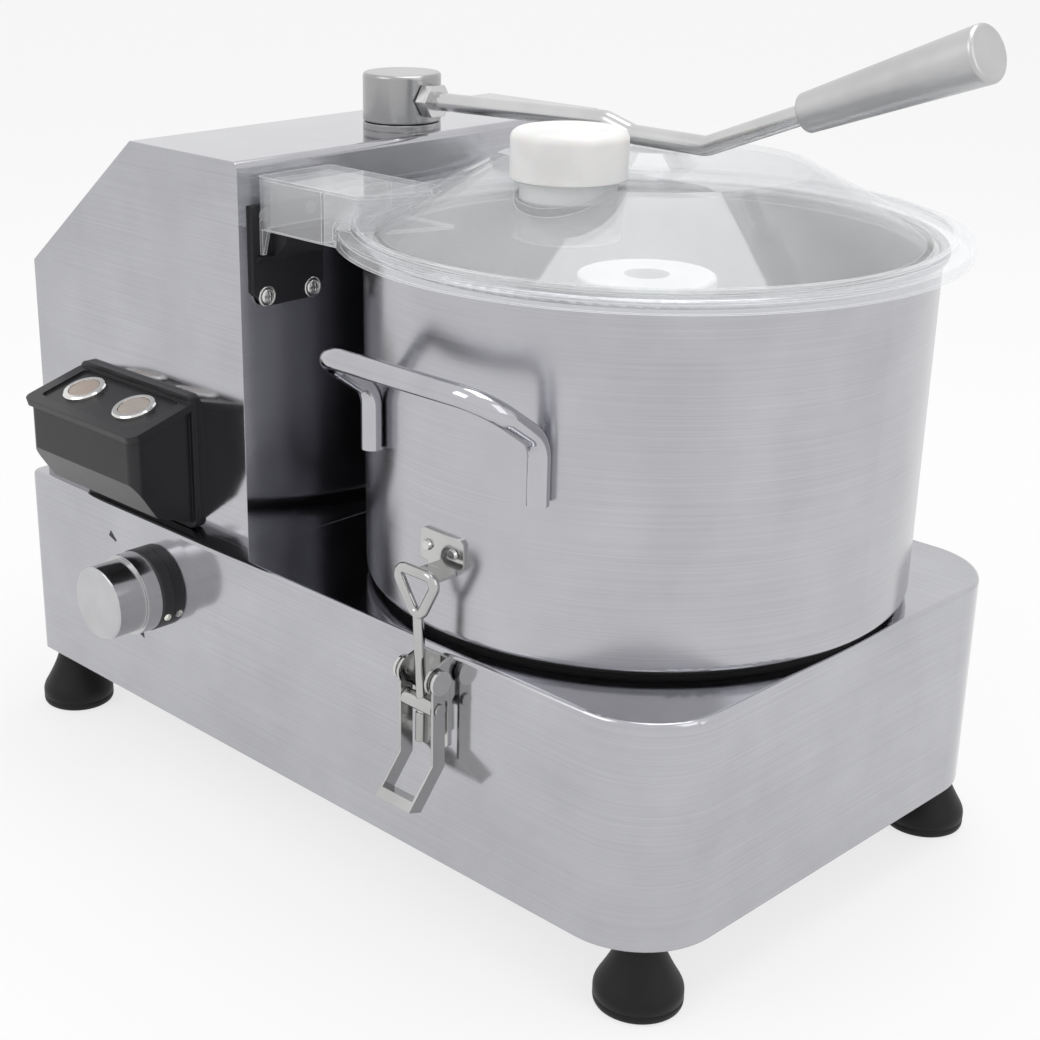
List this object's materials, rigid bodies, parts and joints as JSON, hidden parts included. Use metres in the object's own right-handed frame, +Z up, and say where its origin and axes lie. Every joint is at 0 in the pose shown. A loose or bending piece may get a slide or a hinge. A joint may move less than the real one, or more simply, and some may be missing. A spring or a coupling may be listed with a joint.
{
  "type": "bowl cutter",
  "caption": "Bench-top bowl cutter: steel bowl with S-blades under a clear lid with feed chute, swing hold-down arm, motor tower, push-button box and speed dial.",
  "frame": {"origin": "bottom centre of the whole machine, at the floor under its feet", "axes": "+X from the motor tower to the bowl, -Y towards the control side, +Z up"},
  "size_m": [0.6142, 0.404, 0.5043],
  "materials": {
    "stainless_sheet": "fine brushed stainless sheet",
    "bowl_steel": "spun and polished stainless",
    "latch_steel": "bright steel",
    "satin_aluminium": "turned satin aluminium",
    "shaft_steel": "ground steel",
    "blade_steel": "ground and honed steel",
    "clear_plastic": "clear moulded polycarbonate",
    "white_plastic": "white food-grade plastic",
    "black_plastic": "black moulded plastic",
    "start_cap": "pale translucent moulded plastic",
    "stop_cap": "pale red translucent moulded plastic",
    "foot_rubber": "black rubber",
    "seal_rubber": "dark rubber",
    "cast_aluminium": "cast and turned",
    "motor_paint": "dark grey enamel"
  },
  "bodies": {
    "frame": {"base_housing": "stainless_sheet", "base_plate": "stainless_sheet", "seat_ring": "seal_rubber", "foot_front_tail": "foot_rubber", "foot_front_nose": "foot_rubber", "foot_rear_tail": "foot_rubber", "foot_rear_nose": "foot_rubber", "foot_screws": "latch_steel", "motor_housing": "stainless_sheet", "rear_panel": "stainless_sheet", "motor_mount": "cast_aluminium", "motor_body": "motor_paint", "drive_belt": "seal_rubber", "bearing_housing": "cast_aluminium", "bearing_upper": "shaft_steel", "bearing_lower": "shaft_steel", "shaft_seal": "seal_rubber", "frame_bolts": "latch_steel", "bowl": "bowl_steel", "front_handle": "bowl_steel", "rear_handle": "bowl_steel", "switch_bracket": "black_plastic", "bracket_screws": "latch_steel", "safety_switch": "black_plastic", "arm_collar": "satin_aluminium", "control_box": "black_plastic", "button_bezels": "latch_steel", "contact_blocks": "black_plastic", "dial_plate": "black_plastic", "potentiometer": "black_plastic", "front_latch_base": "stainless_sheet", "latch_pins": "latch_steel", "front_keeper": "stainless_sheet", "latch_rivets": "latch_steel", "rear_latch_base": "stainless_sheet", "rear_keeper": "stainless_sheet"},
    "spindle": {"drive_shaft": "shaft_steel", "driven_pulley": "cast_aluminium", "blade_hub": "white_plastic", "blades": "blade_steel"},
    "motor_rotor": {"motor_shaft": "shaft_steel", "motor_pulley": "cast_aluminium"},
    "lid": {"lid": "clear_plastic", "lid_gasket": "seal_rubber"},
    "cap": {"chute_cap": "white_plastic"},
    "arm": {"pivot_post": "shaft_steel", "post_cap": "satin_aluminium", "hex_nut": "latch_steel", "lever_rod": "latch_steel", "lever_grip": "satin_aluminium"},
    "dial": {"knob": "satin_aluminium"},
    "start": {"start_button": "start_cap"},
    "stop": {"stop_button": "stop_cap"},
    "front_latch": {"front_lever": "latch_steel"},
    "front_loop": {"front_hook": "latch_steel", "front_barrel": "latch_steel"},
    "rear_latch": {"rear_lever": "latch_steel"},
    "rear_loop": {"rear_hook": "latch_steel", "rear_barrel": "latch_steel"}
  },
  "joints": [
    {"name": "spindle_turn", "type": "hinge", "parent": "frame", "child": "spindle", "pos_m": [0.09941, 0.00384, 0.3], "axis": [0, 0, 1], "continuous": true},
    {"name": "motor_turn", "type": "hinge", "parent": "frame", "child": "motor_rotor", "pos_m": [-0.18659, 0.00384, 0.2], "axis": [0, 0, 1], "continuous": true},
    {"name": "lid_turn", "type": "hinge", "parent": "frame", "child": "lid", "pos_m": [0.09941, 0.00384, 0.38], "axis": [0, 0, 1], "range_deg": [0, 30]},
    {"name": "cap_lift", "type": "slide", "parent": "lid", "child": "cap", "axis": [0, 0, 1], "range_m": [0, 0.045]},
    {"name": "arm_swing", "type": "hinge", "parent": "frame", "child": "arm", "pos_m": [-0.11259, 0.01284, 0.409], "axis": [0, 0, 1], "range_deg": [0, 110]},
    {"name": "dial_turn", "type": "hinge", "parent": "frame", "child": "dial", "pos_m": [-0.16559, -0.18116, 0.126], "axis": [0, -1, 0], "range_deg": [-270, 0]},
    {"name": "start_push", "type": "slide", "parent": "frame", "child": "start", "axis": [0, 0.2666, -0.9638], "range_m": [0, 0.003], "stiffness_N_per_m": 500, "springref_m": -0.002},
    {"name": "stop_push", "type": "slide", "parent": "frame", "child": "stop", "axis": [0, 0.2666, -0.9638], "range_m": [0, 0.003], "stiffness_N_per_m": 500, "springref_m": -0.002},
    {"name": "front_latch_throw", "type": "hinge", "parent": "frame", "child": "front_latch", "pos_m": [0.09941, -0.17116, 0.1585], "axis": [-1, 0, 0], "range_deg": [0, 150]},
    {"name": "front_loop_turn", "type": "hinge", "parent": "front_latch", "child": "front_loop", "pos_m": [0.09941, -0.17116, 0.142], "axis": [-1, 0, 0], "range_deg": [-150, 0]},
    {"name": "rear_latch_throw", "type": "hinge", "parent": "frame", "child": "rear_latch", "pos_m": [0.09941, 0.17884, 0.1585], "axis": [1, 0, 0], "range_deg": [0, 150]},
    {"name": "rear_loop_turn", "type": "hinge", "parent": "rear_latch", "child": "rear_loop", "pos_m": [0.09941, 0.17884, 0.142], "axis": [1, 0, 0], "range_deg": [-150, 0]}
  ],
  "couplings": [
    {"joint": "motor_turn", "follows": "spindle_turn", "ratio": 2},
    {"joint": "front_loop_turn", "follows": "front_latch_throw", "ratio": -1},
    {"joint": "rear_loop_turn", "follows": "rear_latch_throw", "ratio": -1}
  ]
}
